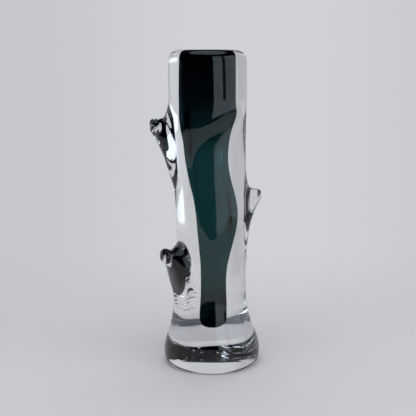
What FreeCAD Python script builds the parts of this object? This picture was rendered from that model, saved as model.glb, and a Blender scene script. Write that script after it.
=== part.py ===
"""Hand-blown cased-glass stem vase with three branch knots.

The vase is six masses of glass, each laid hot on the one before it:

  colour_lining         the first bubble: a thin wall of dark petrol glass round the cavity
  clear_casing          the thick clear gather over the bubble, leaning and waisted by hand
  foot                  the heavy clear heel that the casing stands on, ground flat underneath
  upper_left_knot       clear glass drawn out of the wall to a stub
  right_knot            clear glass drawn out to a blunt thorn
  lower_left_knot       clear glass drawn out towards the front and rounded to a bead

Millimetres, +Z up. The origin is the middle of the ground face under the foot. -Y is the front,
and the two knots called left are on the -X side. Nothing moves: the pieces are fused, and each
one meets its neighbour face to face.
"""

import FreeCAD
import Part

import math
import os
from collections import namedtuple

# ---- driving dimensions -------------------------------------------------------------------

VASE_HEIGHT = 300.0          # floor to lip
FOOT_HEIGHT = 30.0           # floor to the face that the casing is laid on
FOOT_STANDING_RADIUS = 45.0  # the foot's side carried down to the floor, before the heel is rounded
FOOT_RADIUS = 46.6           # the widest ring of the foot
FOOT_TOP_RADIUS = 42.6       # at the face that the casing is laid on
FOOT_WIDEST_SHARE = 0.5      # how far up the foot its widest ring is
HEEL_ROUNDING = 6.0          # between the foot's side and its ground face
LIP_ROUNDING = 8.0           # the fire-polished rounding outside the lip
MOUTH_ROUNDING = 0.7         # the same at the mouth's own edge

LINING_WALL = 1.8            # the colour layer
LINING_END_RADIUS = 9.0      # outside of its round bottom
UNDER_LINING = 4.0           # clear glass between the lining's bottom and the foot

KNOT_END_ROUNDING = 1.6      # round a knot's small end face

# A ring is one level cut of a hand-shaped form: share is how far up it is, from the face over the
# foot (0) to the lip (1). x and y are its centre, and radius its size.
Ring = namedtuple("Ring", "share x y radius")

CASING_RINGS = (
    Ring(0.050, -0.9, 0.0, 38.2),
    Ring(0.135, -1.4, 0.2, 34.6),
    Ring(0.250, -0.8, 0.3, 34.1),
    Ring(0.390, -0.1, -0.4, 33.9),
    Ring(0.500, -1.2, 0.2, 34.5),
    Ring(0.610, -2.9, 0.6, 35.3),
    Ring(0.710, -3.7, -1.1, 35.9),
    Ring(0.830, -3.9, -0.6, 36.7),
    Ring(0.930, -4.0, 0.0, 36.3),
    Ring(1.000, -4.1, 0.0, 34.9),
)

LINING_RINGS = (
    Ring(0.130, 0.2, 0.0, 8.8),
    Ring(0.235, 0.2, 0.2, 9.2),
    Ring(0.330, 2.3, 0.0, 11.2),
    Ring(0.440, 3.0, -0.3, 13.5),
    Ring(0.560, -1.9, 0.3, 13.2),
    Ring(0.690, -5.8, -0.4, 15.7),
    Ring(0.800, -4.4, -0.5, 17.6),
    Ring(0.910, -4.0, 0.0, 17.9),
    Ring(1.000, -3.9, 0.0, 17.6),
)

# A knot is drawn out level from the wall at a share and a bearing. Its slices are upright ovals
# across the way it points: out is how far a slice stands off the wall, above and below are its
# top and bottom from the knot's height, and wide is its half width.
Slice = namedtuple("Slice", "out above below wide")
Knot = namedtuple("Knot", "share bearing slices")

UPPER_LEFT = Knot(
    share=0.741, bearing=180.0,
    slices=(
        Slice(-4.0, 21.0, 60.0, 16.0),
        Slice(0.5, 12.5, 42.0, 12.0),
        Slice(4.5, 7.4, 27.0, 9.0),
        Slice(9.0, 5.2, 18.0, 7.0),
        Slice(13.0, 4.9, 11.5, 5.8),
        Slice(16.6, 4.0, 6.0, 4.7),
        Slice(18.6, 1.9, 2.5, 2.3),
    ),
)
RIGHT = Knot(
    share=0.506, bearing=3.0,
    slices=(
        Slice(-4.0, 14.0, 62.0, 15.0),
        Slice(0.5, 7.6, 46.0, 11.0),
        Slice(4.0, 5.0, 28.0, 8.0),
        Slice(8.0, 4.8, 14.5, 6.0),
        Slice(11.4, 4.0, 7.0, 4.6),
        Slice(14.0, 1.9, 2.4, 2.2),
    ),
)
LOWER_LEFT = Knot(
    share=0.298, bearing=213.0,
    slices=(
        Slice(-4.0, 22.0, 68.0, 17.0),
        Slice(0.5, 14.5, 53.0, 13.0),
        Slice(5.0, 9.0, 38.0, 9.6),
        Slice(10.0, 6.6, 22.5, 7.4),
        Slice(14.5, 6.4, 10.0, 6.5),
        Slice(18.2, 5.2, 5.6, 5.2),
        Slice(20.4, 2.6, 2.6, 2.5),
    ),
)

UP = FreeCAD.Vector(0, 0, 1)
HEIGHT_TOLERANCE = 1e-3      # for finding an edge by its height

# One level cut at its real height.
Section = namedtuple("Section", "z x y radius")

# A unit circle as a rational curve: the corners of a square and the middles of its sides.
ROUND_CORNERS = ((1, 0), (1, 1), (0, 1), (-1, 1), (-1, 0), (-1, -1), (0, -1), (1, -1), (1, 0))
ROUND_WEIGHTS = (1, math.sqrt(0.5)) * 4 + (1,)
ROUND_KNOTS = (0, 1, 2, 3, 4)
ROUND_COUNTS = (3, 2, 2, 2, 3)
ROUND_DEGREE = 2


# ---- the forms that the pieces are cut from -----------------------------------------------

def section_of(ring, inset=0.0):
    """A ring at its real height, taken in by inset."""
    z = FOOT_HEIGHT + ring.share * (VASE_HEIGHT - FOOT_HEIGHT)
    return Section(z, ring.x, ring.y, ring.radius - inset)


def smooth_curve(rows):
    """The smooth curve of three values over a fourth, which is each row's first."""
    curve = Part.BSplineCurve()
    curve.interpolate(Points=[FreeCAD.Vector(*r[1:]) for r in rows], Parameters=[r[0] for r in rows])
    return curve


def drawn_solid(rows, place):
    """The smooth solid through rows, where place gives the point of a row's ring at a corner (u, v)."""
    curve = smooth_curve(rows)
    knots, counts = curve.getKnots(), curve.getMultiplicities()
    every_knot = [k for k, n in zip(knots, counts) for _ in range(n)]
    degree = curve.Degree
    poles = [(sum(every_knot[i + 1:i + 1 + degree]) / degree, *p)
             for i, p in enumerate(curve.getPoles())]
    side = Part.BSplineSurface()
    side.buildFromPolesMultsKnots(
        [[place(p, u, v) for p in poles] for u, v in ROUND_CORNERS],
        ROUND_COUNTS, counts, ROUND_KNOTS, knots, False, False, ROUND_DEGREE, degree,
        [[w] * len(poles) for w in ROUND_WEIGHTS],
    )
    wall = side.toShape()
    ends = [Part.Face(Part.Wire(side.vIso(knot).toShape())) for knot in (knots[0], knots[-1])]
    shell = Part.Shell([wall] + ends)
    shell.sewShape()
    solid = Part.Solid(shell)
    return solid if solid.Volume > 0 else solid.reversed()


def level_place(row, u, v):
    """A level section's point."""
    z, x, y, radius = row
    return FreeCAD.Vector(x + radius * u, y + radius * v, z)


def turned_form(sections):
    """The smooth solid through level round sections."""
    return drawn_solid(sections, level_place)


def outer_sections():
    """The outline of the foot and casing together, floor to lip."""
    foot = [
        Section(0.0, 0.0, 0.0, FOOT_STANDING_RADIUS),
        Section(FOOT_WIDEST_SHARE * FOOT_HEIGHT, 0.0, 0.0, FOOT_RADIUS),
        Section(FOOT_HEIGHT, 0.0, 0.0, FOOT_TOP_RADIUS),
    ]
    return foot + [section_of(r) for r in CASING_RINGS]


def level_edges(solid, z):
    """A solid's level edges at one height."""
    boxes = [(e, e.BoundBox) for e in solid.Edges]
    return [e for e, b in boxes
            if abs(b.ZMin - z) < HEIGHT_TOLERANCE and abs(b.ZMax - z) < HEIGHT_TOLERANCE]


def outer_form():
    """The foot and casing as one mass of glass, with the heel and lip rounded."""
    form = turned_form(outer_sections())
    form = form.makeFillet(HEEL_ROUNDING, level_edges(form, 0.0))
    return form.makeFillet(LIP_ROUNDING, level_edges(form, VASE_HEIGHT))


def bubble(inset):
    """The lining's outside taken in by inset: a tube through its rings with a round bottom."""
    first = LINING_RINGS[0]
    bottom = FOOT_HEIGHT + UNDER_LINING + LINING_END_RADIUS
    end = Section(bottom, first.x, first.y, LINING_END_RADIUS - inset)
    tube = turned_form([end] + [section_of(r, inset) for r in LINING_RINGS])
    bowl = Part.makeSphere(end.radius, FreeCAD.Vector(end.x, end.y, end.z))
    return tube.fuse(bowl).removeSplitter()


def block(low, high):
    """A block that holds everything of the vase between two heights."""
    half = VASE_HEIGHT
    return Part.makeBox(2 * half, 2 * half, high - low, FreeCAD.Vector(-half, -half, low))


def knot(design, outer):
    """A bit of glass drawn out of the wall: upright ovals, a rounded end, and a root cut to the wall."""
    height = FOOT_HEIGHT + design.share * (VASE_HEIGHT - FOOT_HEIGHT)
    centre_x, centre_y, radius = smooth_curve(outer_sections()).value(height)
    bearing = math.radians(design.bearing)
    along = FreeCAD.Vector(math.cos(bearing), math.sin(bearing), 0)
    across = along.cross(UP)
    root = FreeCAD.Vector(centre_x, centre_y, height) + along * radius

    def oval_place(row, u, v):
        out, above, below, wide = row
        rise = (above - below) / 2 + u * (above + below) / 2
        return root + along * out + UP * rise + across * (v * wide)

    drawn = drawn_solid(design.slices, oval_place)
    end_edge = min(drawn.Edges, key=lambda e: e.Length)
    return drawn.makeFillet(KNOT_END_ROUNDING, [end_edge]).cut(outer)


# ---- the pieces ---------------------------------------------------------------------------

def colour_lining():
    """The thin coloured wall, open at the mouth, with its inner edge fire-polished."""
    wall = bubble(0.0).cut(bubble(LINING_WALL))
    mouth_edge = min(level_edges(wall, VASE_HEIGHT), key=lambda e: e.Length)
    return wall.makeFillet(MOUTH_ROUNDING, [mouth_edge])


def main():
    os.makedirs("parts", exist_ok=True)
    outer = outer_form()
    pieces = {
        "colour_lining": colour_lining(),
        "clear_casing": outer.common(block(FOOT_HEIGHT, VASE_HEIGHT)).cut(bubble(0.0)),
        "foot": outer.common(block(0.0, FOOT_HEIGHT)),
        "upper_left_knot": knot(UPPER_LEFT, outer),
        "right_knot": knot(RIGHT, outer),
        "lower_left_knot": knot(LOWER_LEFT, outer),
    }
    for name, solid in pieces.items():
        print(f"{name}: {len(solid.Solids)} solid, {solid.Volume / 1000:.1f} cm3, {solid.isValid()}")
        solid.exportStep(f"parts/{name}.step")


main()
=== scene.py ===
"""The hand-blown cased-glass stem vase in its studio.

The clear glass is shaped as one flowing cage and then parted where the masses of hot glass were
laid on each other, so that the casing, the foot and the three knots meet without a step. The
coloured lining is a thin shell inside. Metres, +Z up, with the front towards -Y.
"""

import logging
import math
from collections.abc import Callable
from dataclasses import dataclass, replace
from enum import Enum

import bmesh
import bpy
import numpy as np
from bpy.types import Material, Node, NodeSocket, NodeTree, Object, ShaderNodeTree
from mathutils import Matrix, Vector


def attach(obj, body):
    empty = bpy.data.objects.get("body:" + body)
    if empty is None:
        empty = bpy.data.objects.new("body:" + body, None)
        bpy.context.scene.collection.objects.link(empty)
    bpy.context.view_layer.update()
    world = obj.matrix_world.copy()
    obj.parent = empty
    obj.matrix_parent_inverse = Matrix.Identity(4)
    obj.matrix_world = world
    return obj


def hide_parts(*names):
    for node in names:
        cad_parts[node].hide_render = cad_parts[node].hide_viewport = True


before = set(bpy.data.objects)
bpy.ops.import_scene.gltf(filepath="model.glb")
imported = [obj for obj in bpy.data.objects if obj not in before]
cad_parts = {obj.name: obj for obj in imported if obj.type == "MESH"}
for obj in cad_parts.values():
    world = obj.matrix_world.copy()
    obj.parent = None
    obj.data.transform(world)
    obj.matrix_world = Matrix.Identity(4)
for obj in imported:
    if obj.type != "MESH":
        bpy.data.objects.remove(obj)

LOG = logging.getLogger("stem_vase")
MM = 0.001
UP = Vector((0.0, 0.0, 1.0))


# ---- Shapes: the rings and slices that the glass is drawn through ----

@dataclass(frozen=True)
class Ring:
    """One level cut of a hand-shaped form, in millimetres.

    Attributes:
        z: Height above the floor.
        x: How far the centre is to the right.
        y: How far the centre is to the back.
        radius: Half the width.
    """

    z: float
    x: float
    y: float
    radius: float


@dataclass(frozen=True)
class Slice:
    """One upright oval across the way a knot points, in millimetres.

    Attributes:
        out: How far it stands off the wall.
        above: Its top, up from the knot's height.
        below: Its bottom, down from the knot's height.
        reach: How far it reaches to the front and to the back.
        flat: How flat the cap is there: 0 keeps the wall's curve, 1 is level.
    """

    out: float
    above: float
    below: float
    reach: float
    flat: float


def ring_at(rings: tuple[Ring, ...], z: float) -> Ring:
    """Reads the smooth form between its rings.

    Args:
        rings: The form's rings, from the lowest up.
        z: The height wanted.

    Returns:
        The ring at that height, on a natural cubic curve through them all.
    """
    at = np.array([r.z for r in rings])
    rows = np.array([[r.x, r.y, r.radius] for r in rings])
    gaps = np.diff(at)
    count = len(rings)
    bends = np.eye(count)
    pull = np.zeros((count, 3))
    for i in range(1, count - 1):
        bends[i, i - 1:i + 2] = gaps[i - 1], 2 * (gaps[i - 1] + gaps[i]), gaps[i]
        pull[i] = 6 * ((rows[i + 1] - rows[i]) / gaps[i] - (rows[i] - rows[i - 1]) / gaps[i - 1])
    bend = np.linalg.solve(bends, pull)
    i = int(np.clip(np.searchsorted(at, z) - 1, 0, count - 2))
    a, b = (at[i + 1] - z) / gaps[i], (z - at[i]) / gaps[i]
    curve = (a ** 3 - a) * bend[i] + (b ** 3 - b) * bend[i + 1]
    x, y, radius = a * rows[i] + b * rows[i + 1] + curve * gaps[i] ** 2 / 6
    return Ring(z, float(x), float(y), float(radius))


def bubble_rings(rings: tuple[Ring, ...], inset: float, depth: float = 12.4,
                 fullness: float = 0.85, steps: int = 30) -> list[Ring]:
    """Lists the rings of a blown bubble with a full, slightly flattened bottom.

    Args:
        rings: The bubble's outside, from the middle of its round bottom up.
        inset: How far to stay inside that, in millimetres.
        depth: How deep the round bottom is.
        fullness: The power that fills the bottom out: 1 is round, less is fuller.
        steps: How many steps the rest is drawn in.

    Returns:
        The rings from the bottom up to the mouth.
    """
    end, top = rings[0], rings[-1].z
    radius, deep = end.radius - inset, depth - inset
    made = []
    for turn in (12.0, 28.0, 44.0, 60.0, 75.0):
        a = math.radians(turn)
        made.append(Ring(
            end.z - deep * math.cos(a) ** fullness, end.x, end.y, radius * math.sin(a) ** fullness
        ))
    for k in range(steps + 1):
        here = ring_at(rings, end.z + (top - end.z) * k / steps)
        made.append(Ring(here.z, here.x, here.y, here.radius - inset))
    return made


def tightened(rings: list[Ring], segments: int) -> list[Ring]:
    """Moves cage rings outwards so that the subdivided surface passes through the given ones.

    Args:
        rings: Where the finished surface should be, in the order they are extruded.
        segments: How many sides the cage has.

    Returns:
        The cage's own rings.
    """
    rows = [np.array([r.z, r.x, r.y, r.radius]) for r in rings]
    moved = [rows[0]]
    for before, here, after in zip(rows, rows[1:], rows[2:]):
        moved.append(here + (here - (before + after) / 2) / 3)
    moved.append(rows[-1])
    round_out = 3 / (2 + math.cos(2 * math.pi / segments))
    return [Ring(z, x, y, radius * round_out) for z, x, y, radius in moved]


# ---- Hand tools: short names for the modelling operators ----

def only(obj: Object) -> None:
    """Makes obj the one selected and active object, in object mode.

    Args:
        obj: The object to work on.
    """
    if bpy.context.object and bpy.context.object.mode != "OBJECT":
        bpy.ops.object.mode_set(mode="OBJECT")
    bpy.ops.object.select_all(action="DESELECT")
    obj.select_set(True)
    bpy.context.view_layer.objects.active = obj


def copy_of(obj: Object, name: str) -> Object:
    """Copies an object and its mesh.

    Args:
        obj: What to copy.
        name: The copy's name.

    Returns:
        The copy.
    """
    only(obj)
    bpy.ops.object.duplicate()
    made = bpy.context.object
    made.name = name
    made.data.name = name
    return made


def extruded_rings(name: str, rings: list[Ring], segments: int) -> Object:
    """Starts from a filled circle and extrudes it ring by ring into a closed cage.

    Args:
        name: The new object's name.
        rings: The cage's rings in order; the first and last are capped.
        segments: How many sides the cage has.

    Returns:
        The cage, with its place in its mesh.
    """
    first = rings[0]
    bpy.ops.object.select_all(action="DESELECT")
    bpy.ops.mesh.primitive_circle_add(
        vertices=segments, radius=first.radius * MM, fill_type="NGON",
        location=(first.x * MM, first.y * MM, first.z * MM),
    )
    made = bpy.context.object
    made.name = name
    made.data.name = name
    only(made)
    bpy.ops.object.transform_apply(location=True, rotation=True, scale=True)
    bpy.ops.object.mode_set(mode="EDIT")
    bpy.ops.mesh.select_mode(type="FACE")
    bpy.ops.mesh.select_all(action="SELECT")
    for before, here in zip(rings, rings[1:]):
        step = ((here.x - before.x) * MM, (here.y - before.y) * MM, (here.z - before.z) * MM)
        bpy.ops.mesh.extrude_region_move(TRANSFORM_OT_translate={"value": step})
        grow = here.radius / before.radius
        bpy.ops.transform.resize(
            value=(grow, grow, 1.0), center_override=(here.x * MM, here.y * MM, here.z * MM)
        )
    bpy.ops.mesh.select_all(action="SELECT")
    bpy.ops.mesh.normals_make_consistent(inside=False)
    bpy.ops.object.mode_set(mode="OBJECT")
    return made


def subdivided(obj: Object, levels: int) -> None:
    """Smooths a cage for good.

    Args:
        obj: The cage.
        levels: How many times each face is split.
    """
    only(obj)
    modifier = obj.modifiers.new("smooth glass", "SUBSURF")
    modifier.levels = modifier.render_levels = levels
    bpy.ops.object.modifier_apply(modifier=modifier.name)


def held_level(obj: Object, low: float, high: float) -> None:
    """Brings anything that smoothing pushed past low or high, in millimetres, back to it."""
    for vert in obj.data.vertices:
        vert.co.z = min(max(vert.co.z, low * MM), high * MM)


class Element(Enum):
    """What is picked in edit mode; the names are those of the select modes."""

    FACE = 0
    EDGE = 1


def pick(obj: Object, kind: Element,
         test: Callable[[bmesh.types.BMFace | bmesh.types.BMEdge], bool]) -> bmesh.types.BMesh:
    """Selects the faces or edges that pass a test, and stays in edit mode.

    Args:
        obj: The object to edit.
        kind: Whether faces or edges are picked.
        test: Says whether one of them is picked.

    Returns:
        The mesh being edited.
    """
    only(obj)
    bpy.ops.object.mode_set(mode="EDIT")
    bpy.ops.mesh.select_mode(type=kind.name)
    bpy.ops.mesh.select_all(action="DESELECT")
    mesh = bmesh.from_edit_mesh(obj.data)
    for element in mesh.faces if kind is Element.FACE else mesh.edges:
        element.select_set(test(element))
    bmesh.update_edit_mesh(obj.data)
    return mesh


def creased(obj: Object, test: Callable[[Vector], bool]) -> None:
    """Keeps some edges of a cage crisp when it is smoothed.

    Args:
        obj: The cage.
        test: Says of a vertex's place whether the edges between such vertices stay crisp.
    """
    pick(obj, Element.EDGE, lambda edge: all(test(v.co) for v in edge.verts))
    bpy.ops.transform.edge_crease(value=1.0)
    bpy.ops.object.mode_set(mode="OBJECT")


def everywhere(at: Vector) -> bool:
    """Says yes to any place, to cut a whole mesh."""
    return True


def parted(obj: Object, where: Callable[[Vector], bool], co: Vector, no: Vector,
           keep_above: bool) -> None:
    """Cuts some faces of a mesh with a plane, drops one side of them and closes the cut.

    Args:
        obj: The mesh to cut.
        where: Says of a face's middle whether the face is cut.
        co: A point on the plane.
        no: The plane's normal.
        keep_above: Whether the side that the normal points to is the one that stays.
    """
    pick(obj, Element.FACE, lambda face: where(face.calc_center_median()))
    bpy.ops.mesh.bisect(
        plane_co=co, plane_no=no, use_fill=True,
        clear_inner=keep_above, clear_outer=not keep_above,
    )
    bpy.ops.object.mode_set(mode="OBJECT")


# ---- Finishes ----

class Layer(Enum):
    """The order of a piece's material slots."""

    GLASS = 0
    FUSED = 1
    GROUND = 2


def fill(tree: NodeTree, node: Node, inputs: dict[str | int, object]) -> None:
    """Fills a node's inputs.

    Args:
        tree: The node tree.
        node: The node.
        inputs: What each input gets, by its name or number: a socket to link, or a value.
    """
    for key, value in inputs.items():
        if isinstance(value, NodeSocket):
            tree.links.new(value, node.inputs[key])
        else:
            node.inputs[key].default_value = value


def add_node(tree: NodeTree, kind: str, inputs: dict[str | int, object] | None = None,
             **settings: object) -> Node:
    """Adds a node to a tree.

    Args:
        tree: The node tree.
        kind: The node's type.
        inputs: What each input gets, as for fill.
        **settings: The node's own settings, such as its operation.

    Returns:
        The node.
    """
    node = tree.nodes.new(kind)
    for name, value in settings.items():
        setattr(node, name, value)
    fill(tree, node, inputs or {})
    return node


def math_of(tree: NodeTree, operation: str, *values: object) -> NodeSocket:
    """Adds a math node whose inputs are numbers or sockets, and gives its result's socket."""
    node = add_node(tree, "ShaderNodeMath", dict(enumerate(values)), operation=operation)
    return node.outputs["Value"]


def soft_step(tree: NodeTree, value: NodeSocket, start: float,
              end: float) -> NodeSocket:
    """Adds a soft step.

    Args:
        tree: The node tree.
        value: What the step is taken of.
        start: Where the step is still 0.
        end: Where it has reached 1, on either side of the start.

    Returns:
        The socket that gives the step.
    """
    node = add_node(tree, "ShaderNodeMapRange", {
        "Value": value, "From Min": start, "From Max": end,
    }, interpolation_type="SMOOTHSTEP")
    return node.outputs["Result"]


def new_group(
    name: str, inputs: dict[str, float | tuple[float, ...]], outputs: tuple[str, ...]
) -> tuple[ShaderNodeTree, Node, Node]:
    """Starts a shared node group.

    Args:
        name: The group's name.
        inputs: Its inputs with the values that they start from.
        outputs: Its outputs.

    Returns:
        The group, its input node and its output node.
    """
    group = bpy.data.node_groups.new(name, "ShaderNodeTree")
    for title, value in inputs.items():
        kind = "NodeSocketVector" if isinstance(value, tuple) else "NodeSocketFloat"
        socket = group.interface.new_socket(name=title, in_out="INPUT", socket_type=kind)
        socket.default_value = value
    for title in outputs:
        group.interface.new_socket(name=title, in_out="OUTPUT", socket_type="NodeSocketFloat")
    return group, add_node(group, "NodeGroupInput"), add_node(group, "NodeGroupOutput")


def flame_waves() -> ShaderNodeTree:
    """Builds the shared group for the faint waves and cords that hand working leaves in glass.

    Returns:
        A node group with a height and a haze output.
    """
    group, given, out = new_group("hand worked waves", {
        "Wave Size": 30.0, "Cord Size": 220.0, "Haze": 0.01,
    }, ("Height", "Haze"))
    drawn_out, cord_height = 0.35, 0.06
    place = add_node(group, "ShaderNodeTexCoord").outputs["Object"]
    drawn = add_node(group, "ShaderNodeMapping", {
        "Vector": place, "Scale": (1.0, 1.0, drawn_out),
    }).outputs["Vector"]
    waves, cords = (
        add_node(group, "ShaderNodeTexNoise", {
            "Vector": drawn, "Scale": given.outputs[size], "Detail": detail,
        }).outputs["Fac"]
        for size, detail in (("Wave Size", 1.0), ("Cord Size", 2.0))
    )
    fill(group, out, {
        "Height": math_of(group, "MULTIPLY_ADD", cords, cord_height, waves),
        "Haze": math_of(group, "MULTIPLY", cords, given.outputs["Haze"]),
    })
    return group


def tool_streaks() -> ShaderNodeTree:
    """Builds the shared group for the flowing folds that drawing out hot glass leaves.

    Returns:
        A node group with a height output.
    """
    group, given, out = new_group("tool streaks", {
        "Low": 0.0, "High": 0.3, "Left Of": 1.0, "Behind": -1.0,
        "Scale": 50.0, "Distortion": 3.0, "Depth": 1.0, "Turn": (0.0, 0.0, 0.0),
    }, ("Height",))
    place = add_node(group, "ShaderNodeTexCoord").outputs["Object"]
    split = add_node(group, "ShaderNodeSeparateXYZ", {"Vector": place})
    turned = add_node(group, "ShaderNodeMapping", {
        "Vector": place, "Rotation": given.outputs["Turn"],
    })
    height = add_node(group, "ShaderNodeTexWave", {
        "Vector": turned.outputs["Vector"], "Scale": given.outputs["Scale"],
        "Distortion": given.outputs["Distortion"], "Detail": 2.0, "Detail Scale": 0.8,
    }, bands_direction="Z").outputs["Fac"]
    fades = (("Z", "Low", 0.008), ("Z", "High", -0.014), ("X", "Left Of", -0.008),
             ("Y", "Behind", 0.008))
    for axis, edge, soft in fades:
        past = math_of(group, "SUBTRACT", split.outputs[axis], given.outputs[edge])
        height = math_of(group, "MULTIPLY", height, soft_step(group, past, 0.0, soft))
    fill(group, out, {"Height": math_of(group, "MULTIPLY", height, given.outputs["Depth"])})
    return group


@dataclass(frozen=True)
class Streaks:
    """Where drawn-out glass is streaked and how.

    Attributes:
        low: Where the streaks begin, in metres above the floor.
        high: Where they end.
        left_of: How far to the right they reach.
        behind: How far to the front they reach.
        scale: How fine they are.
        distortion: How much they flow.
        depth: How deep they are, in parts of the bump's own distance.
        turn: How they are turned, in degrees about each axis.
    """

    low: float
    high: float
    left_of: float
    behind: float
    scale: float
    distortion: float
    depth: float
    turn: tuple[float, float, float]

    def add(self, tree: NodeTree,
            group: ShaderNodeTree) -> NodeSocket:
        """Adds the streaks to a material.

        Args:
            tree: The material's nodes.
            group: The shared streak group.

        Returns:
            The socket that gives their height.
        """
        node = add_node(tree, "ShaderNodeGroup", node_tree=group)
        given = {name.replace("_", " ").title(): value for name, value in vars(self).items()}
        given["Turn"] = tuple(math.radians(t) for t in self.turn)
        fill(tree, node, given)
        return node.outputs["Height"]


@dataclass(frozen=True)
class GlassFinish:
    """Fire-polished or ground glass.

    Attributes:
        name: The material's name.
        tint: What one pass through a surface lets through.
        haze: The most roughness that the working leaves.
        wave: How deep the surface's faint waves are, in metres.
        index: The refractive index.
        streaks: The drawn-out places.
    """

    name: str
    tint: tuple[float, float, float]
    haze: float
    wave: float
    index: float = 1.5
    streaks: tuple[Streaks, ...] = ()

    def make(self, waves: ShaderNodeTree,
             folds: ShaderNodeTree) -> Material:
        """Builds the material.

        Args:
            waves: The shared group of hand-working marks.
            folds: The shared group of streaks.

        Returns:
            The material.
        """
        made = bpy.data.materials.new(self.name)
        made.use_nodes = True
        tree = made.node_tree
        marks = add_node(tree, "ShaderNodeGroup", node_tree=waves)
        fill(tree, marks, {"Haze": self.haze})
        height = marks.outputs["Height"]
        for streaked in self.streaks:
            height = math_of(tree, "ADD", height, streaked.add(tree, folds))
        bump = add_node(tree, "ShaderNodeBump", {"Distance": self.wave, "Height": height})
        fill(tree, tree.nodes["Principled BSDF"], {
            "Base Color": (*self.tint, 1.0),
            "Transmission Weight": 1.0,
            "IOR": self.index,
            "Roughness": marks.outputs["Haze"],
            "Normal": bump.outputs["Normal"],
        })
        return made


@dataclass(frozen=True)
class SeamFinish:
    """A face where two masses of glass are fused: nothing bends there, and colour is all it adds.

    Attributes:
        name: The material's name.
        stops: Heights in metres from the lowest up, each with what gets through there.
        top: The height that the colours are spread up to, in metres.
    """

    name: str
    stops: tuple[tuple[float, tuple[float, float, float]], ...] = ((0.0, (1.0, 1.0, 1.0)),)
    top: float = 0.3

    def make(self) -> Material:
        """Builds the material.

        Returns:
            The material.
        """
        made = bpy.data.materials.new(self.name)
        made.use_nodes = True
        tree = made.node_tree
        tree.nodes.remove(tree.nodes["Principled BSDF"])
        clear = add_node(tree, "ShaderNodeBsdfTransparent", {"Color": (*self.stops[0][1], 1.0)})
        fill(tree, tree.nodes["Material Output"], {"Surface": clear.outputs["BSDF"]})
        if len(self.stops) == 1:
            return made
        place = add_node(tree, "ShaderNodeTexCoord").outputs["Object"]
        split = add_node(tree, "ShaderNodeSeparateXYZ", {"Vector": place})
        share = add_node(tree, "ShaderNodeMapRange", {
            "Value": split.outputs["Z"], "From Max": self.top,
        })
        ramp = add_node(tree, "ShaderNodeValToRGB", {"Fac": share.outputs["Result"]})
        ramp.color_ramp.interpolation = "EASE"
        marks = ramp.color_ramp.elements
        while len(marks) < len(self.stops):
            marks.new(0.5)
        for mark, (height, colour) in zip(marks, self.stops):
            mark.position = height / self.top
            mark.color = (*colour, 1.0)
        fill(tree, clear, {"Color": ramp.outputs["Color"]})
        return made


# ---- The clear glass ----

@dataclass(frozen=True)
class KnotShape:
    """A stub of glass drawn out of the wall.

    Attributes:
        node: The piece's name.
        height: How high it is, in millimetres.
        bearing: Where it points, in degrees from +X towards +Y.
        root_rise: How far the patch of wall that it grows from reaches up, in millimetres.
        root_drop: How far that patch reaches down.
        root_reach: How far it reaches round to the front and to the back, in degrees.
        seat: Where it is parted from the casing, in millimetres off the wall.
        slices: The ovals that it is drawn through.
    """

    node: str
    height: float
    bearing: float
    root_rise: float
    root_drop: float
    root_reach: float
    seat: float
    slices: tuple[Slice, ...]

    @property
    def along(self) -> Vector:
        """The level direction that the knot points in."""
        turn = math.radians(self.bearing)
        return Vector((math.cos(turn), math.sin(turn), 0.0))

    @property
    def across(self) -> Vector:
        """The level direction across the knot, towards the back."""
        side = self.along.cross(UP)
        return side if side.y > 0 else -side


@dataclass(frozen=True)
class Fold:
    """A slanting fold that the wet block leaves in a wall, in millimetres.

    Attributes:
        height: How high it crosses the middle of the front.
        middle: How far to the right that middle is.
        slant: How much it rises to the right.
        depth: How far the wall goes out above it and in below it.
        width: How high the slope between the two is.
        length: How far up and down it takes to die out.
        fade_start: Where it begins to die out round the side, as a cosine.
        fade_end: Where it is gone.
        wall_reach: How far from the middle the outer wall is at the least.
    """

    height: float = 228.0
    middle: float = -4.0
    slant: float = 0.5
    depth: float = 1.9
    width: float = 9.0
    length: float = 42.0
    fade_start: float = 0.70
    fade_end: float = 0.15
    wall_reach: float = 30.0

    def push(self, across: float, facing: float, z: float) -> float:
        """Works out how far the wall moves out at one place.

        Args:
            across: How far the place is to the right of the middle.
            facing: How far it faces the front, as a cosine.
            z: How high it is.

        Returns:
            The move in millimetres.
        """
        share = min(max((facing - self.fade_end) / (self.fade_start - self.fade_end), 0.0), 1.0)
        off = z - self.height - self.slant * across
        lift = self.depth * math.tanh(off / self.width) * math.exp(-(off / self.length) ** 2)
        return lift * (share * share * (3 - 2 * share))


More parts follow.
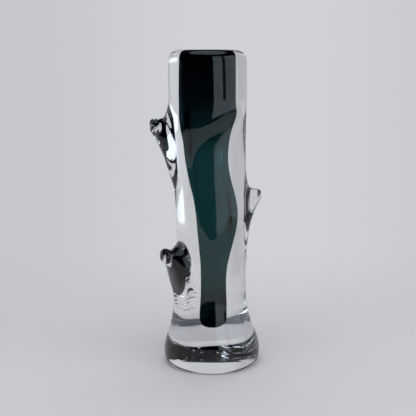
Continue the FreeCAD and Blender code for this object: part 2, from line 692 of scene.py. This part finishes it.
@dataclass
class ClearGlass:
    """The clear masses: the casing, the foot under it and the knots drawn out of it.

    Attributes:
        height: Floor to lip, in millimetres.
        seam: Floor to the face where the casing sits on the foot.
        rings: The outline of foot and casing together.
        hollow: The rings of the lining's outside, where the casing ends inside.
        heel: How high the rounding under the foot is, and how deep at the back.
        heel_front: How deep it is at the front, where the foot stands fuller.
        lip: The rounding outside the lip.
        ground_radii: The rings of the ground face, from the middle out.
        mouth_radii: The rings of the lip's level top, going in.
        hollow_reach: How far from the middle the hollow's wall is at the most.
        wall_reach: How far from the middle the outer wall is at the least.
        segments: How many sides the cage has.
        subdivisions: How many times each face of the cage is split.
        fold: The fold in the front.
        knots: The knots, each a piece of its own.
    """

    height: float = 300.0
    seam: float = 30.0
    rings: tuple[Ring, ...] = (
        Ring(0.0, 0.0, 0.0, 45.0),
        Ring(15.0, 0.0, 0.0, 46.6),
        Ring(30.0, 0.0, -2.8, 42.6),
        Ring(43.5, -0.9, -1.25, 38.2),
        Ring(66.45, -1.4, 0.2, 34.6),
        Ring(97.5, -0.8, 0.3, 34.1),
        Ring(135.3, -0.1, -0.4, 33.9),
        Ring(165.0, -1.2, 0.2, 34.5),
        Ring(194.7, -2.9, 0.6, 35.3),
        Ring(221.7, -3.7, -1.1, 35.9),
        Ring(254.1, -3.9, -0.6, 36.7),
        Ring(281.1, -4.0, 0.0, 36.8),
        Ring(300.0, -4.1, 0.0, 35.9),
    )
    hollow: tuple[Ring, ...] = (
        Ring(43.0, 0.2, 0.0, 9.0),
        Ring(65.1, 0.2, 0.0, 8.8),
        Ring(93.45, 0.2, 0.2, 9.2),
        Ring(119.1, 2.3, 0.0, 11.2),
        Ring(148.8, 3.0, -0.3, 13.5),
        Ring(181.2, -1.9, 0.3, 13.2),
        Ring(216.3, -5.8, -0.4, 15.7),
        Ring(246.0, -4.4, -0.5, 17.6),
        Ring(275.7, -4.0, 0.0, 17.9),
        Ring(300.0, -3.9, 0.0, 17.6),
    )
    heel: float = 7.5
    heel_front: float = 3.0
    lip: float = 9.5
    ground_radii: tuple[float, ...] = (3.0, 12.0, 24.0, 33.0)
    mouth_radii: tuple[float, ...] = (23.5, 20.0)
    hollow_reach: float = 21.0
    wall_reach: float = 25.0
    segments: int = 32
    subdivisions: int = 2
    fold: Fold = Fold()
    knots: tuple[KnotShape, ...] = (
        KnotShape("upper_left_knot", 230.07, 180.0, 21.0, 54.0, 45.0, 2.2, (
            Slice(2.2, 10.5, 38.5, 18.8, 0.8),
            Slice(5.5, 7.4, 29.0, 17.2, 1.0),
            Slice(9.5, 6.2, 20.5, 14.2, 1.0),
            Slice(13.2, 6.5, 12.8, 10.4, 1.0),
            Slice(16.6, 6.2, 7.4, 6.8, 1.0),
            Slice(18.5, 4.4, 5.0, 4.0, 1.0),
            Slice(18.6, 2.2, 2.6, 1.9, 1.0),
        )),
        KnotShape("right_knot", 166.62, 2.0, 14.0, 56.0, 22.5, 1.6, (
            Slice(1.6, 5.6, 42.0, 12.4, 0.8),
            Slice(4.4, 3.4, 28.0, 11.8, 1.0),
            Slice(8.2, 2.8, 17.5, 11.0, 1.0),
            Slice(11.6, 2.6, 10.6, 10.0, 1.0),
            Slice(13.7, 1.2, 6.4, 8.0, 1.0),
            Slice(13.88, -0.2, 3.6, 4.6, 1.0),
        )),
        KnotShape("lower_left_knot", 110.46, 213.75, 12.5, 62.0, 33.75, 5.0, (
            Slice(2.6, 10.0, 46.0, 17.6, 0.8),
            Slice(6.0, 6.8, 34.0, 16.0, 1.0),
            Slice(10.0, 5.0, 21.0, 13.0, 1.0),
            Slice(13.6, 5.6, 10.8, 9.0, 1.0),
            Slice(17.0, 7.4, 8.0, 7.6, 1.0),
            Slice(20.2, 6.6, 6.8, 6.6, 1.0),
            Slice(21.4, 3.2, 3.4, 3.2, 1.0),
        )),
    )

    def outline(self, steps: int = 34) -> list[Ring]:
        """Lists the rings of the whole clear surface.

        Args:
            steps: How many steps the wall is drawn in.

        Returns:
            The rings from the middle of the base, out and up and over the lip to the mouth.
        """
        side = ring_at(self.rings, self.heel)
        shift, inset = (self.heel_front - self.heel) / 2, (self.heel_front + self.heel) / 2
        rings = [Ring(0.0, side.x, side.y + shift, r) for r in self.ground_radii]
        for turn in (-90.0, -60.0, -30.0):
            a = math.radians(turn)
            pulled = 1 - math.cos(a)
            rings.append(Ring(
                self.heel * (1 + math.sin(a)), side.x, side.y + shift * pulled,
                side.radius - inset * pulled,
            ))
        shoulder = self.height - self.lip
        for k in range(steps + 1):
            rings.append(ring_at(self.rings, self.heel + (shoulder - self.heel) * k / steps))
        side = ring_at(self.rings, shoulder)
        for turn in (22.5, 45.0, 67.5, 90.0):
            a = math.radians(turn)
            rings.append(Ring(
                shoulder + self.lip * math.sin(a), side.x, side.y,
                side.radius - self.lip * (1 - math.cos(a)),
            ))
        mouth = self.hollow[-1]
        for radius in (*self.mouth_radii, mouth.radius):
            rings.append(Ring(self.height, mouth.x, mouth.y, radius))
        return rings

    def inside(self) -> list[Ring]:
        """Lists the casing's inside from the mouth down to the middle of the round bottom."""
        return list(reversed(bubble_rings(self.hollow, 0.0)))

    def cage(self) -> Object:
        """Extrudes the whole clear surface and draws the knots out of it.

        Returns:
            The smooth surface, not yet parted.
        """
        rings = tightened(self.outline(), self.segments)
        rings = [replace(r, z=min(max(r.z, 0.0), self.height)) for r in rings]
        rings += tightened(self.inside(), self.segments)[1:]
        made = extruded_rings("clear_glass", rings, self.segments)
        for knot in self.knots:
            self.draw_out(made, knot)
        self.crease_mouth(made)
        subdivided(made, self.subdivisions)
        self.press_fold(made)
        held_level(made, 0.0, self.height)
        return made

    def press_fold(self, obj: Object) -> None:
        """Presses the slanting fold into the front, under which the wall hangs over a little.

        Args:
            obj: The smooth clear surface.
        """
        for vert in obj.data.vertices:
            at = vert.co / MM
            across = at.x - self.fold.middle
            reach = math.hypot(across, at.y)
            if at.y > 0 or reach < self.fold.wall_reach:
                continue
            push = self.fold.push(across, -at.y / reach, at.z)
            vert.co += Vector((across, at.y, 0.0)).normalized() * push * MM

    def crease_mouth(self, obj: Object) -> None:
        """Keeps the casing's inner edge crisp at the mouth, where the lining meets it.

        Args:
            obj: The cage.
        """
        mouth = self.hollow[-1]
        middle = Vector((mouth.x, mouth.y)) * MM
        level, reach = (self.height - 0.5) * MM, (mouth.radius + 1.4) * MM
        creased(obj, lambda at: at.z > level and (at.xy - middle).length < reach)

    def draw_out(self, obj: Object, knot: KnotShape) -> None:
        """Picks an oval patch of the wall and extrudes it through the knot's slices.

        Args:
            obj: The cage.
            knot: The knot to draw out.
        """
        wall = ring_at(self.rings, knot.height)
        centre = Vector((wall.x, wall.y, wall.z)) * MM
        along, across = knot.along, knot.across
        axes = (along, across, UP)

        def on_root(face: bmesh.types.BMFace) -> bool:
            """Says whether a face is in the patch that the knot grows from."""
            at = face.calc_center_median() - centre
            off_side = math.degrees(math.atan2(at.dot(across), at.dot(along)))
            return (
                abs(off_side) < knot.root_reach
                and -knot.root_drop * MM < at.z < knot.root_rise * MM
                and at.xy.length > self.wall_reach * MM
            )

        self.round_off(pick(obj, Element.FACE, on_root), centre, knot)
        bmesh.update_edit_mesh(obj.data)
        for step in knot.slices:
            bpy.ops.mesh.extrude_region_move(TRANSFORM_OT_translate={"value": along * MM})
            mesh = bmesh.from_edit_mesh(obj.data)
            spots = [v.co - centre for v in mesh.verts if v.select]
            low = [min(s.dot(a) for s in spots) for a in axes]
            high = [max(s.dot(a) for s in spots) for a in axes]
            pivot = centre + sum(
                (a * (l + h) / 2 for a, l, h in zip(axes, low, high)), Vector()
            )
            grow = (
                1.0 - step.flat,
                2 * step.reach * MM / (high[1] - low[1]),
                (step.above + step.below) * MM / (high[2] - low[2]),
            )
            bpy.ops.transform.resize(
                value=grow, orient_matrix=Matrix(axes).transposed(),
                orient_matrix_type="GLOBAL", orient_type="GLOBAL", center_override=pivot,
            )
            target = (
                centre + along * (wall.radius + step.out) * MM
                + UP * (step.above - step.below) / 2 * MM
            )
            bpy.ops.transform.translate(value=target - pivot)
        bpy.ops.object.mode_set(mode="OBJECT")

    def round_off(self, mesh: bmesh.types.BMesh, centre: Vector, knot: KnotShape) -> None:
        """Eases the square patch of wall faces that is selected into an oval one.

        Args:
            mesh: The cage being edited.
            centre: The wall's middle at the knot's height.
            knot: The knot that grows from the patch.
        """
        wider, taller, prouder = 1.12, 1.06, 1.006
        spots = [v for v in mesh.verts if v.select]
        sides = [math.atan2((v.co - centre).dot(knot.across), (v.co - centre).dot(knot.along))
                 for v in spots]
        heights = [v.co.z for v in spots]
        middle, wide = (max(sides) + min(sides)) / 2, (max(sides) - min(sides)) / 2
        low, high = min(heights), max(heights)
        for vert, side, level in zip(spots, sides, heights):
            u, v = (side - middle) / wide, (2 * level - low - high) / (high - low)
            turn = middle + u * math.sqrt(1 - v * v / 2) * wide * wider
            z = (low + high) / 2 + v * math.sqrt(1 - u * u / 2) * (high - low) / 2 * taller
            here = ring_at(self.rings, z / MM)
            out = knot.along * math.cos(turn) + knot.across * math.sin(turn)
            vert.co = Vector((here.x, here.y, here.z)) * MM + out * here.radius * MM * prouder

    def seat(self, knot: KnotShape) -> Vector:
        """Finds a point on the plane that parts a knot from the casing."""
        wall = ring_at(self.rings, knot.height)
        return Vector((wall.x, wall.y, wall.z)) * MM + knot.along * (wall.radius + knot.seat) * MM

    def near(self, knot: KnotShape) -> Callable[[Vector], bool]:
        """Makes the test that tells a knot's faces from the rest.

        The box that it tests reaches down only as far as the wall is inside the knot's seat.

        Args:
            knot: The knot.

        Returns:
            A test of a face's middle.
        """
        seat = self.seat(knot)
        spare, tail, sunk, reach = 2.0, 10.0, 6.0, 24.0
        low = -min(knot.root_drop + spare, knot.slices[0].below + tail) * MM
        high = (knot.root_rise + spare) * MM

        def test(at: Vector) -> bool:
            """Says whether a point is on or near the knot."""
            off = at - seat
            return (
                off.dot(knot.along) > -sunk * MM
                and abs(off.dot(knot.across)) < reach * MM
                and low < off.z < high
            )

        return test

    def pieces(self) -> dict[str, Object]:
        """Builds the clear glass and parts it where its masses were laid on each other.

        Returns:
            The casing, the foot and the knots by name.
        """
        whole = self.cage()
        seam = Vector((0.0, 0.0, self.seam * MM))
        made = {}
        foot = copy_of(whole, "foot_glass")
        parted(foot, everywhere, seam, UP, keep_above=False)
        made["foot"] = foot
        casing = copy_of(whole, "casing_glass")
        parted(casing, everywhere, seam, UP, keep_above=True)
        for knot in self.knots:
            parted(casing, self.near(knot), self.seat(knot), knot.along, keep_above=False)
        made["clear_casing"] = casing
        for knot in self.knots:
            piece = copy_of(whole, knot.node + "_glass")
            self.keep_near(piece, knot)
            parted(piece, everywhere, self.seat(knot), knot.along, keep_above=True)
            made[knot.node] = piece
        only(whole)
        bpy.ops.object.shade_smooth()
        for piece in made.values():
            one_skin(piece, whole)
        bpy.data.objects.remove(whole)
        return made

    def keep_near(self, obj: Object, knot: KnotShape) -> None:
        """Deletes every face that isn't on or near a knot.

        Args:
            obj: A copy of the whole clear surface.
            knot: The knot to keep.
        """
        test = self.near(knot)
        pick(obj, Element.FACE, lambda face: not test(face.calc_center_median()))
        bpy.ops.mesh.delete(type="FACE")
        bpy.ops.object.mode_set(mode="OBJECT")

    def lines_hollow(self, at: Vector) -> bool:
        """Says whether a place is on the wall of the hollow, which leans in its upper half."""
        bottom, lean_from, below_lip = 33.0, 150.0, 0.05
        middle = self.hollow[-1].x * MM if at.z > lean_from * MM else 0.0
        level = bottom * MM < at.z < (self.height - below_lip) * MM
        return level and Vector((at.x - middle, at.y)).length < self.hollow_reach * MM

    def dress(self, pieces: dict[str, Object], glass: Material,
              fused: Material, ground: Material) -> None:
        """Gives the pieces their materials, face by face.

        Args:
            pieces: The pieces by node.
            glass: The fire-polished glass.
            fused: For faces where two pieces are one glass.
            ground: For the ground face under the foot.
        """
        seats = [(self.seat(k), k.along) for k in self.knots]
        seats.append((Vector((0.0, 0.0, self.seam * MM)), UP))
        on_plane, on_floor = 1e-6, 1e-5
        for obj in pieces.values():
            for material in (glass, fused, ground):
                obj.data.materials.append(material)
            for face in obj.data.polygons:
                points = [obj.data.vertices[i].co for i in face.vertices]
                on_seat = any(
                    all(abs((p - co).dot(no)) < on_plane for p in points) for co, no in seats
                )
                if on_seat or self.lines_hollow(face.center):
                    face.material_index = Layer.FUSED.value
                elif face.center.z < on_floor:
                    face.material_index = Layer.GROUND.value


def one_skin(obj: Object, whole: Object) -> None:
    """Gives a parted piece the shading of the surface that it was parted from.

    Args:
        obj: The piece.
        whole: The unparted surface.
    """
    only(obj)
    bpy.ops.object.shade_smooth()
    modifier = obj.modifiers.new("one skin", "DATA_TRANSFER")
    modifier.object = whole
    modifier.use_loop_data = True
    modifier.data_types_loops = {"CUSTOM_NORMAL"}
    modifier.loop_mapping = "POLYINTERP_NEAREST"
    bpy.ops.object.modifier_apply(modifier=modifier.name)


def mark_material_borders(obj: Object) -> None:
    """Marks the edges between two materials sharp, so that fused faces don't bend the shading.

    Args:
        obj: The piece.
    """
    pick(obj, Element.EDGE, lambda edge: len({f.material_index for f in edge.link_faces}) > 1)
    bpy.ops.mesh.mark_sharp()
    bpy.ops.object.mode_set(mode="OBJECT")


# ---- The lining ----

@dataclass
class Lining:
    """The thin coloured bubble inside the casing.

    Attributes:
        hollow: The rings of its outside.
        wall: How thick it is, in millimetres.
        clearance: How far its outside is kept off the casing's inside.
        mouth: The rounding of its inner edge at the mouth.
        segments: How many sides the cage has.
        subdivisions: How many times each face of the cage is split.
    """

    hollow: tuple[Ring, ...]
    wall: float = 1.8
    clearance: float = 0.03
    mouth: float = 0.7
    segments: int = 32
    subdivisions: int = 2

    def build(self) -> Object:
        """Extrudes the lining up outside, over its rim and down inside.

        Returns:
            The lining.
        """
        outside = bubble_rings(self.hollow, self.clearance)
        inner = bubble_rings(self.hollow, self.wall)
        rim = inner[-1]
        rings = tightened(outside, self.segments)
        over = [
            Ring(rim.z, rim.x, rim.y, rim.radius + self.mouth + 0.3),
            Ring(rim.z, rim.x, rim.y, rim.radius + self.mouth),
            Ring(rim.z - 0.3 * self.mouth, rim.x, rim.y, rim.radius + 0.3 * self.mouth),
            Ring(rim.z - self.mouth, rim.x, rim.y, rim.radius),
        ]
        down = [r for r in reversed(inner) if r.z < rim.z - 2 * self.mouth]
        rings += tightened(over + down, self.segments)
        made = extruded_rings("lining_glass", rings, self.segments)
        middle = Vector((rim.x, rim.y)) * MM
        level, reach = (rim.z - 0.01) * MM, (rim.radius + self.wall - 0.3) * MM
        creased(made, lambda at: at.z > level and (at.xy - middle).length > reach)
        subdivided(made, self.subdivisions)
        held_level(made, 0.0, rim.z)
        return made

    def dress(self, obj: Object, glass: Material,
              colour: Material) -> None:
        """Gives the lining its materials.

        Args:
            obj: The lining.
            glass: For the cavity's wall and the rim.
            colour: For the outside, where all of the colour is.
        """
        obj.data.materials.append(glass)
        obj.data.materials.append(colour)
        below_rim = 0.05
        for face in obj.data.polygons:
            here = ring_at(self.hollow, max(face.center.z / MM, self.hollow[0].z))
            middle = Vector((here.x, here.y, here.z)) * MM
            outer = (face.center - middle).length > (here.radius - self.wall / 2) * MM
            if outer and face.center.z < (self.hollow[-1].z - below_rim) * MM:
                face.material_index = Layer.FUSED.value
        only(obj)
        bpy.ops.object.shade_smooth()
        mark_material_borders(obj)


# ---- The studio ----

@dataclass(frozen=True)
class Panel:
    """A soft-edged patch of the room that the glass sees, but the camera doesn't.

    Attributes:
        left: Its left edge, in degrees round from the back towards the right.
        right: Its right edge.
        low: Its lower edge, in degrees above the horizon.
        high: Its upper edge.
        soft: How wide its edges fade, in degrees.
        colour: Its brightness.
    """

    left: float
    right: float
    low: float
    high: float
    soft: float
    colour: tuple[float, float, float]


@dataclass(frozen=True)
class PaperFinish:
    """Matt pale paper that fades away towards the back.

    Attributes:
        name: The material's name.
        colour: The paper's colour.
        roughness: How matt it is.
        fade_start: Where it begins to fade, in metres behind the vase's middle.
        fade_end: Where it is gone.
    """

    name: str = "pale paper"
    colour: tuple[float, float, float] = (0.706, 0.677, 0.671)
    roughness: float = 0.9
    fade_start: float = 0.0144
    fade_end: float = 0.54

    def make(self) -> Material:
        """Builds the material.

        Returns:
            The material.
        """
        made = bpy.data.materials.new(self.name)
        made.use_nodes = True
        tree = made.node_tree
        paper = tree.nodes["Principled BSDF"]
        fill(tree, paper, {
            "Base Color": (*self.colour, 1.0), "Roughness": self.roughness,
            "Specular IOR Level": 0.0,
        })
        gone = add_node(tree, "ShaderNodeBsdfTransparent")
        place = add_node(tree, "ShaderNodeTexCoord").outputs["Object"]
        split = add_node(tree, "ShaderNodeSeparateXYZ", {"Vector": place})
        mixed = add_node(tree, "ShaderNodeMixShader", {
            "Fac": soft_step(tree, split.outputs["Y"], self.fade_start, self.fade_end),
            1: paper.outputs["BSDF"],
            2: gone.outputs["BSDF"],
        })
        fill(tree, tree.nodes["Material Output"], {"Surface": mixed.outputs["Shader"]})
        return made


@dataclass(frozen=True)
class SoftLight:
    """A rectangular soft light that faces the vase and lights what isn't glass.

    Attributes:
        name: The light's name.
        azimuth: Where it stands, in degrees from the front towards the right.
        elevation: How high it stands, in degrees above the vase's middle.
        distance: How far off it is, in metres.
        wide: Its width.
        tall: Its height.
        power: Its power in watts.
    """

    name: str
    azimuth: float
    elevation: float
    distance: float
    wide: float
    tall: float
    power: float

    def hang(self) -> None:
        """Hangs the light, turned to the vase's middle."""
        data = bpy.data.lights.new(self.name, "AREA")
        data.shape = "RECTANGLE"
        data.size, data.size_y = self.wide, self.tall
        data.energy = self.power
        light = bpy.data.objects.new(self.name, data)
        bpy.context.scene.collection.objects.link(light)
        a, e = math.radians(self.azimuth), math.radians(self.elevation)
        off = Vector((math.sin(a) * math.cos(e), -math.cos(a) * math.cos(e), math.sin(e)))
        light.location = Vector((0.0, 0.0, 0.15)) + off * self.distance
        light.rotation_mode = "QUATERNION"
        light.rotation_quaternion = (-off).to_track_quat("-Z", "Y")
        light.visible_camera = False
        light.visible_glossy = False
        light.visible_transmission = False


@dataclass(frozen=True)
class Viewpoint:
    """Where the vase is seen from: in front of it, just under its rim.

    Attributes:
        place: The camera's place, in metres.
        tilt: How far it looks down, in degrees.
        sensor: Its sensor's width, in millimetres.
        zoom: The lens's focal length, in widths of the sensor.
        shift: How far the lens is shifted to the side, in widths of the sensor.
    """

    place: tuple[float, float, float] = (0.0, -0.815, 0.286)
    tilt: float = 9.4123
    sensor: float = 36.0
    zoom: float = 862.0 / 416.0
    shift: float = -3.8 / 416.0

    def set_up(self) -> None:
        """Sets the camera up and makes it the scene's."""
        data = bpy.data.cameras.new("camera")
        data.lens = self.sensor * self.zoom
        data.sensor_width = self.sensor
        data.shift_x = self.shift
        camera = bpy.data.objects.new("camera", data)
        bpy.context.scene.collection.objects.link(camera)
        camera.location = self.place
        camera.rotation_euler = (math.radians(90.0 - self.tilt), 0.0, 0.0)
        bpy.context.scene.camera = camera


@dataclass
class Studio:
    """A pale floor, a pale surround, soft lights and the camera.

    Attributes:
        front: Where the floor ends in front, in metres.
        back: Where it ends at the back, after it has faded into the surround.
        side: How far it reaches to each side.
        under: How far it lies under the foot, so that the two don't meet.
        paper: What it is laid with.
        surround: The surround's brightness, as the camera sees it.
        falloff: How much of that is lost towards the sides.
        falloff_middle: Where it is brightest, as the sideways part of the view's direction.
        falloff_edges: Where the loss starts and ends, measured from there.
        dark: The rest of the room's brightness, as the glass sees it.
        panels: The lit parts of the room, each painted over the ones before it.
        lights: A wide soft light over the vase, a weaker one from the window and one behind.
        view: Where the camera is.
    """

    front: float = 0.58
    back: float = 0.72
    side: float = 0.95
    under: float = 0.0001
    paper: PaperFinish = PaperFinish()
    surround: tuple[float, float, float] = (0.635, 0.643, 0.672)
    falloff: float = 0.12
    falloff_middle: float = 0.05
    falloff_edges: tuple[float, float] = (0.03, 0.29)
    dark: tuple[float, float, float] = (0.008, 0.015, 0.026)
    panels: tuple[Panel, ...] = (
        Panel(-100.0, 82.0, -95.0, 10.0, 4.0, (0.09, 0.15, 0.24)),
        Panel(-76.0, 74.0, -95.0, 36.0, 4.0, (0.45, 0.455, 0.475)),
        Panel(-24.0, 74.0, -95.0, 36.0, 14.0, (0.56, 0.57, 0.59)),
        Panel(-30.0, 30.0, 24.0, 90.0, 4.0, (0.008, 0.015, 0.026)),
        Panel(37.0, 84.0, -9.6, -4.1, 2.0, (1.06, 1.14, 1.22)),
        Panel(-200.0, 200.0, 60.0, 95.0, 4.0, (0.85, 0.98, 1.12)),
        Panel(81.0, 164.5, -12.5, 40.0, 3.0, (1.04, 1.17, 1.33)),
        Panel(129.0, 138.0, 1.0, 45.0, 2.0, (0.10, 0.12, 0.15)),
        Panel(132.2, 135.4, -1.6, 0.8, 0.8, (1.9, 2.0, 2.15)),
    )
    lights: tuple[SoftLight, ...] = (
        SoftLight("soft_top", -20.0, 62.0, 1.6, 1.7, 1.7, 12.0),
        SoftLight("soft_window", 50.0, 30.0, 1.6, 1.2, 1.0, 3.0),
        SoftLight("soft_back", 175.0, 60.0, 1.6, 1.4, 1.0, 5.0),
    )
    view: Viewpoint = Viewpoint()

    def floor(self) -> None:
        """Lays the floor, which fades into the surround at the back."""
        bpy.ops.object.select_all(action="DESELECT")
        bpy.ops.mesh.primitive_plane_add(size=2.0, location=(0.0, 0.0, 0.0))
        made = bpy.context.object
        made.name = "studio_floor"
        made.scale = (self.side, (self.front + self.back) / 2, 1.0)
        made.location = (0.0, (self.back - self.front) / 2, -self.under)
        bpy.ops.object.transform_apply(location=True, rotation=True, scale=True)
        made.data.materials.append(self.paper.make())

    def room_colour(self, tree: NodeTree, bearing: NodeSocket,
                    climb: NodeSocket) -> NodeSocket:
        """Paints the room that the glass sees, panel over panel.

        Args:
            tree: The world's nodes.
            bearing: The direction's degrees round from the back towards the right.
            climb: Its degrees above the horizon.

        Returns:
            The socket that gives the room's colour.
        """

        def between(value: NodeSocket, low: float, high: float,
                    soft: float) -> NodeSocket:
            """Adds a soft-edged band that is half way at low and at high."""
            start = soft_step(tree, value, low - soft / 2, low + soft / 2)
            end = soft_step(tree, value, high - soft / 2, high + soft / 2)
            return math_of(tree, "MULTIPLY", start, math_of(tree, "SUBTRACT", 1.0, end))

        painted = add_node(tree, "ShaderNodeRGB")
        painted.outputs[0].default_value = (*self.dark, 1.0)
        colour = painted.outputs[0]
        for panel in self.panels:
            inside = between(bearing, panel.left, panel.right, panel.soft)
            level = between(climb, panel.low, panel.high, panel.soft)
            colour = add_node(tree, "ShaderNodeMix", {
                "Factor": math_of(tree, "MULTIPLY", inside, level),
                "A": colour, "B": (*panel.colour, 1.0),
            }, data_type="RGBA").outputs["Result"]
        return colour

    def surroundings(self) -> None:
        """Makes the room: pale to the camera, with dark and bright parts for the glass to show."""
        world = bpy.data.worlds.new("studio")
        bpy.context.scene.world = world
        world.use_nodes = True
        tree = world.node_tree
        place = add_node(tree, "ShaderNodeTexCoord").outputs["Generated"]
        split = add_node(tree, "ShaderNodeSeparateXYZ", {"Vector": place})
        x, y, z = (split.outputs[axis] for axis in "XYZ")
        bearing = math_of(tree, "DEGREES", math_of(tree, "ARCTAN2", x, y))
        climb = math_of(tree, "DEGREES", math_of(tree, "ARCSINE", z))
        room = add_node(tree, "ShaderNodeBackground", {
            "Color": self.room_colour(tree, bearing, climb),
        })
        aside = math_of(tree, "ABSOLUTE", math_of(tree, "SUBTRACT", x, self.falloff_middle))
        lost = math_of(tree, "MULTIPLY", self.falloff, soft_step(tree, aside, *self.falloff_edges))
        seen = tree.nodes["Background"]
        fill(tree, seen, {
            "Color": (*self.surround, 1.0), "Strength": math_of(tree, "SUBTRACT", 1.0, lost),
        })
        mixed = add_node(tree, "ShaderNodeMixShader", {
            "Fac": add_node(tree, "ShaderNodeLightPath").outputs["Is Camera Ray"],
            1: room.outputs["Background"],
            2: seen.outputs["Background"],
        })
        fill(tree, tree.nodes["World Output"], {"Surface": mixed.outputs["Shader"]})

    def build(self) -> None:
        """Sets the whole studio up."""
        self.floor()
        self.surroundings()
        for light in self.lights:
            light.hang()
        self.view.set_up()
        bpy.context.scene.view_settings.view_transform = "Standard"


# ---- The whole vase in its studio ----

def main() -> None:
    """Builds every piece and reports it."""
    logging.basicConfig(level=logging.INFO)
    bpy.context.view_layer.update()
    marks = flame_waves(), tool_streaks()
    clear = GlassFinish("clear glass", (0.985, 0.992, 0.995), 0.004, 0.0002, streaks=(
        Streaks(0.040, 0.084, -0.006, -0.010, 60.0, 5.0, 3.4, (0.0, -24.0, 0.0)),
        Streaks(0.195, 0.245, -0.046, -1.0, 70.0, 3.0, 2.0, (0.0, 60.0, 0.0)),
        Streaks(0.006, 0.030, -0.020, -1.0, 45.0, 2.0, 0.35, (0.0, 78.0, 0.0)),
    )).make(*marks)
    ground = GlassFinish("ground glass", (0.97, 0.98, 0.985), 0.05, 0.0002).make(*marks)
    cavity = GlassFinish("petrol glass", (1.0, 1.0, 1.0), 0.004, 0.0001).make(*marks)
    fused = SeamFinish("fused seam").make()
    colour = SeamFinish("petrol colour", (
        (0.030, (0.03, 0.05, 0.05)),
        (0.058, (0.05, 0.10, 0.10)),
        (0.080, (0.09, 0.215, 0.215)),
        (0.130, (0.09, 0.22, 0.225)),
        (0.195, (0.10, 0.225, 0.235)),
        (0.225, (0.05, 0.14, 0.145)),
        (0.258, (0.015, 0.055, 0.058)),
        (0.290, (0.01, 0.02, 0.022)),
    )).make()
    glass = ClearGlass()
    pieces = glass.pieces()
    glass.dress(pieces, clear, fused, ground)
    for node, piece in pieces.items():
        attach(piece, "root")
        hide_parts(node)
        LOG.info("%s: %d faces", piece.name, len(piece.data.polygons))
    lining = Lining(glass.hollow)
    bubble = lining.build()
    lining.dress(bubble, cavity, colour)
    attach(bubble, "root")
    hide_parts("colour_lining")
    LOG.info("%s: %d faces", bubble.name, len(bubble.data.polygons))
    Studio().build()


if __name__ == "__main__":
    main()
